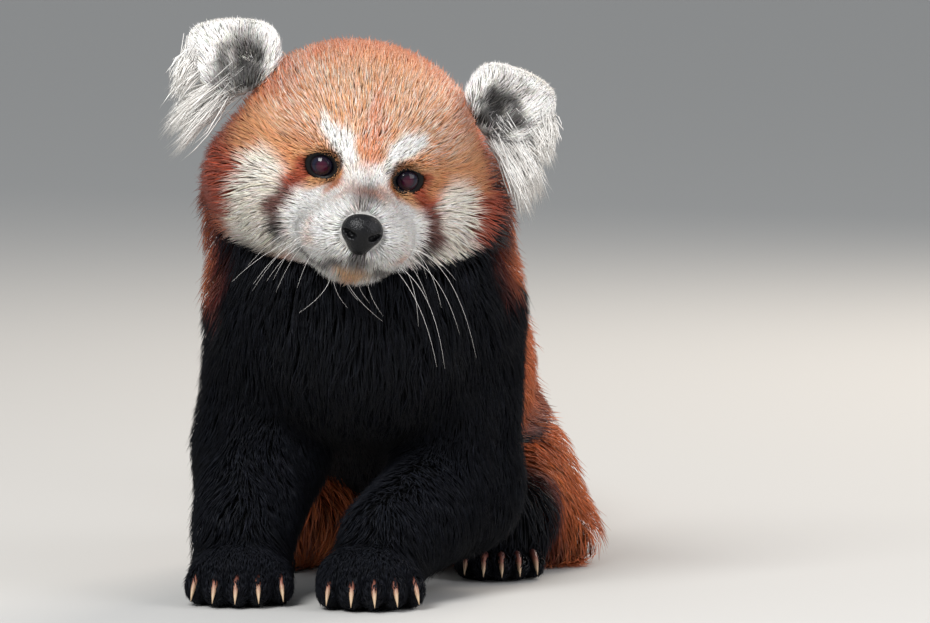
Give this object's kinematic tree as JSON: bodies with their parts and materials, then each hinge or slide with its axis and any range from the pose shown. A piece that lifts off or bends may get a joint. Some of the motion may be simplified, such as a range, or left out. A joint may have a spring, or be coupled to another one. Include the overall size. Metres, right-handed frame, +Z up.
{
  "type": "red panda",
  "caption": "Life-size red panda sitting upright with its head tilted, forepaws set down in front and its long ringed tail laid straight back on the floor.",
  "frame": {"origin": "on the floor, under the middle of the animal's bounding box", "axes": "+Z up; the animal looks out along -Y and its tail lies along +Y; its own left side is at +X"},
  "size_m": [0.2386, 0.7476, 0.3025],
  "materials": {
    "coat_fox": "long soft fur",
    "coat_rust": "long soft fur",
    "coat_buff": "long soft fur",
    "coat_black": "dense soft fur with a slight sheen",
    "coat_white": "soft fur",
    "coat_face": "short dense fur",
    "nose_leather": "moist, satin",
    "eye": "wet, glossy",
    "claw": "horn, satin"
  },
  "bodies": {
    "root": {"eye_left": "eye", "eye_right": "eye", "nose": "nose_leather", "ear_left": "coat_white", "ear_right": "coat_white", "head": "coat_face", "claw_forepaw_right_1": "claw", "claw_forepaw_right_2": "claw", "claw_forepaw_right_3": "claw", "claw_forepaw_right_4": "claw", "claw_forepaw_right_5": "claw", "forepaw_right": "coat_black", "claw_forepaw_left_1": "claw", "claw_forepaw_left_2": "claw", "claw_forepaw_left_3": "claw", "claw_forepaw_left_4": "claw", "claw_forepaw_left_5": "claw", "forepaw_left": "coat_black", "claw_hindfoot_right_1": "claw", "claw_hindfoot_right_2": "claw", "claw_hindfoot_right_3": "claw", "claw_hindfoot_right_4": "claw", "claw_hindfoot_right_5": "claw", "hindfoot_right": "coat_black", "claw_hindfoot_left_1": "claw", "claw_hindfoot_left_2": "claw", "claw_hindfoot_left_3": "claw", "claw_hindfoot_left_4": "claw", "claw_hindfoot_left_5": "claw", "hindfoot_left": "coat_black", "foreleg_left": "coat_black", "foreleg_right": "coat_black", "thigh_left": "coat_fox", "thigh_right": "coat_fox", "neck": "coat_fox", "torso": "coat_fox", "chest": "coat_black", "tail_part_1": "coat_rust", "tail_part_2": "coat_buff", "tail_part_3": "coat_rust", "tail_part_4": "coat_buff", "tail_part_5": "coat_rust", "tail_part_6": "coat_buff"}
  },
  "joints": []
}
